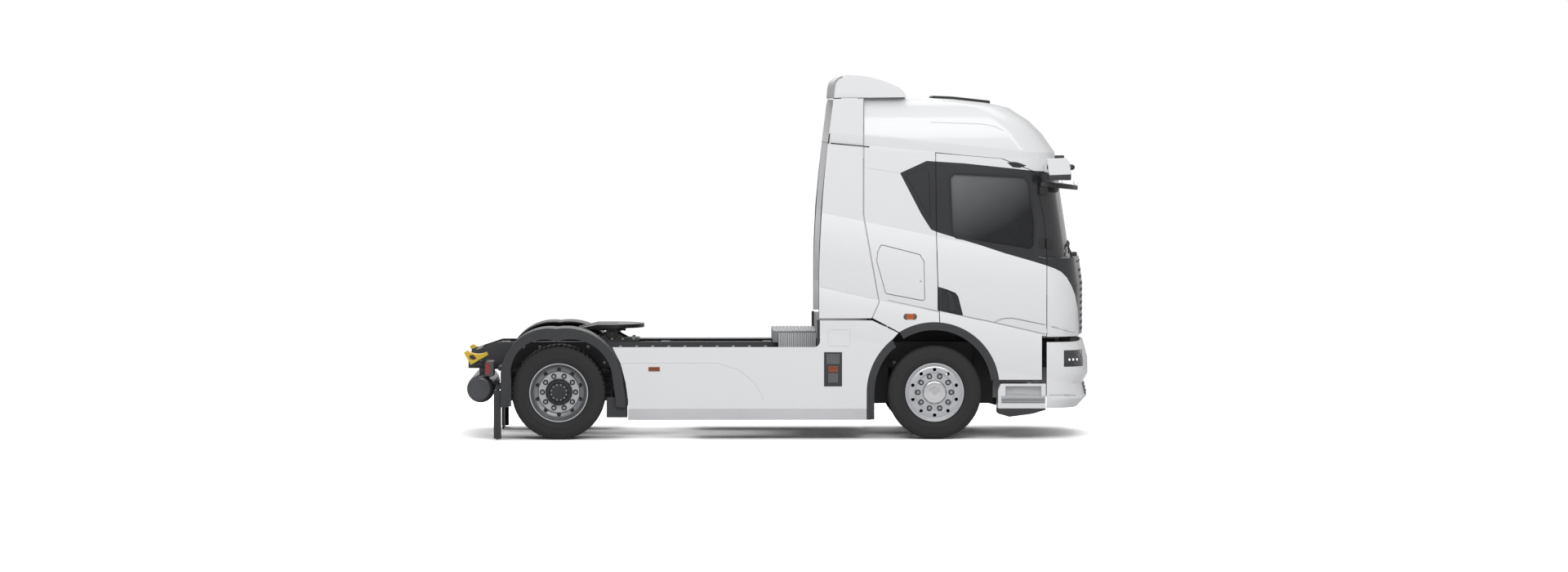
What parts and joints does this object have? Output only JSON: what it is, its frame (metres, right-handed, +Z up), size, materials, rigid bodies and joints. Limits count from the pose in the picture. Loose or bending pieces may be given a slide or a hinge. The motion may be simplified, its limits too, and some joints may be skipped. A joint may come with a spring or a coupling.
{
  "type": "cab-over truck tractor unit",
  "caption": "Cab-over road tractor unit with a high-roof sleeper cab, side skirts, steered front axle, twin-wheel driven rear axle and a rocking fifth wheel coupling.",
  "frame": {"origin": "centre of the bounding box at ground level", "axes": "+X forward, +Y to the vehicle's left, +Z up"},
  "size_m": [6.39, 2.96, 3.68],
  "materials": {
    "white_paint": "smooth gloss white lacquer",
    "dark_plastic": "fine grained moulded dark grey plastic",
    "gloss_black": "gloss black panel",
    "chassis_paint": "dark grey chassis paint",
    "grey_metal": "mid grey coated metal",
    "cast_metal": "painted casting",
    "rim_metal": "silver wheel lacquer",
    "tyre_rubber": "black tyre rubber",
    "rubber": "black rubber",
    "glass": "tinted safety glass",
    "lamp_clear": "dark lamp with clear cover",
    "lamp_red": "red lamp lens",
    "yellow_plastic": "yellow moulded plastic",
    "aluminium_ribbed": "ribbed aluminium",
    "seat_fabric": "woven seat cloth",
    "interior_plastic": "soft touch cab plastic"
  },
  "bodies": {
    "root": {"frame_rails": "chassis_paint", "cross_members": "chassis_paint", "frame_brackets": "chassis_paint", "tail_lamps": "lamp_red", "wheel_chocks": "yellow_plastic", "tanks": "aluminium_ribbed", "front_axle": "cast_metal", "front_springs": "cast_metal", "rear_axle": "cast_metal", "air_bellows": "rubber", "engine_and_radiator": "cast_metal", "side_skirts": "white_paint", "catwalk": "grey_metal", "fifth_wheel_base": "cast_metal", "wheel_guards": "dark_plastic", "front_guards": "dark_plastic", "bumper": "white_paint", "headlamps": "lamp_clear", "entry_steps": "dark_plastic"},
    "fifth_wheel": {"fifth_wheel_plate": "cast_metal", "kingpin_jaw": "cast_metal"},
    "steering_left": {"knuckle_left": "cast_metal"},
    "steering_right": {"knuckle_right": "cast_metal"},
    "tie_rod": {"tie_rod": "chassis_paint"},
    "wheel_front_left": {"tyre_front_left": "tyre_rubber", "rim_front_left": "rim_metal"},
    "wheel_front_right": {"tyre_front_right": "tyre_rubber", "rim_front_right": "rim_metal"},
    "wheels_rear_left": {"tyres_rear_left": "tyre_rubber", "rims_rear_left": "rim_metal"},
    "wheels_rear_right": {"tyres_rear_right": "tyre_rubber", "rims_rear_right": "rim_metal"},
    "cab": {"cab_body": "white_paint", "cab_side_panels": "white_paint", "cab_rear_wall": "white_paint", "cab_floor": "chassis_paint", "bunk_base": "interior_plastic", "cab_roof": "white_paint", "roof_spoiler": "white_paint", "side_deflectors": "white_paint", "windscreen": "glass", "arch_trims": "dark_plastic", "sun_visor": "gloss_black", "camera_pods": "white_paint", "seats_and_bunk": "seat_fabric", "cab_interior": "interior_plastic"},
    "door_left": {"door_left": "white_paint", "door_glass_left": "glass"},
    "door_right": {"door_right": "white_paint", "door_glass_right": "glass"},
    "front_lid": {"front_lid": "gloss_black"},
    "locker_lid_left": {"locker_lid_left": "white_paint"},
    "locker_lid_right": {"locker_lid_right": "white_paint"}
  },
  "joints": [
    {"name": "spin_front_left", "type": "hinge", "parent": "steering_left", "child": "wheel_front_left", "pos_m": [1.575, 1.02, 0.475], "axis": [0, 1, 0], "continuous": true},
    {"name": "spin_front_right", "type": "hinge", "parent": "steering_right", "child": "wheel_front_right", "pos_m": [1.575, -1.02, 0.475], "axis": [0, 1, 0], "continuous": true},
    {"name": "spin_rear_left", "type": "hinge", "parent": "root", "child": "wheels_rear_left", "pos_m": [-2.225, 0.885, 0.475], "axis": [0, 1, 0], "continuous": true},
    {"name": "spin_rear_right", "type": "hinge", "parent": "root", "child": "wheels_rear_right", "pos_m": [-2.225, -0.885, 0.475], "axis": [0, 1, 0], "continuous": true},
    {"name": "steer_left", "type": "hinge", "parent": "root", "child": "steering_left", "pos_m": [1.575, 0.85, 0.475], "axis": [0, 0, 1], "range_deg": [-40, 40]},
    {"name": "steer_right", "type": "hinge", "parent": "root", "child": "steering_right", "pos_m": [1.575, -0.85, 0.475], "axis": [0, 0, 1], "range_deg": [-40, 40]},
    {"name": "tie_rod_pivot", "type": "hinge", "parent": "steering_left", "child": "tie_rod", "pos_m": [1.375, 0.85, 0.353], "axis": [0, 0, 1], "range_deg": [-40, 40]},
    {"name": "coupling_rock", "type": "hinge", "parent": "root", "child": "fifth_wheel", "pos_m": [-1.698, 0, 1.04], "axis": [0, 1, 0], "range_deg": [-12, 12]},
    {"name": "cab_tilt", "type": "hinge", "parent": "root", "child": "cab", "pos_m": [3, 0, 1.09], "axis": [0, 1, 0], "range_deg": [0, 55]},
    {"name": "door_left_hinge", "type": "hinge", "parent": "cab", "child": "door_left", "pos_m": [2.705, 1.246, 1.5], "axis": [0, 0, -1], "range_deg": [0, 75]},
    {"name": "door_right_hinge", "type": "hinge", "parent": "cab", "child": "door_right", "pos_m": [2.705, -1.246, 1.5], "axis": [0, 0, 1], "range_deg": [0, 75]},
    {"name": "front_lid_hinge", "type": "hinge", "parent": "cab", "child": "front_lid", "pos_m": [3.104, 0, 1.79], "axis": [0, -1, 0], "range_deg": [0, 75]},
    {"name": "locker_left_hinge", "type": "hinge", "parent": "cab", "child": "locker_lid_left", "pos_m": [1.225, 1.246, 1.9215], "axis": [0.969, 0, -0.247], "range_deg": [0, 80]},
    {"name": "locker_right_hinge", "type": "hinge", "parent": "cab", "child": "locker_lid_right", "pos_m": [1.225, -1.246, 1.9215], "axis": [-0.969, 0, 0.247], "range_deg": [0, 80]}
  ],
  "couplings": [
    {"joint": "steer_right", "follows": "steer_left", "ratio": 1},
    {"joint": "tie_rod_pivot", "follows": "steer_left", "ratio": -1}
  ]
}
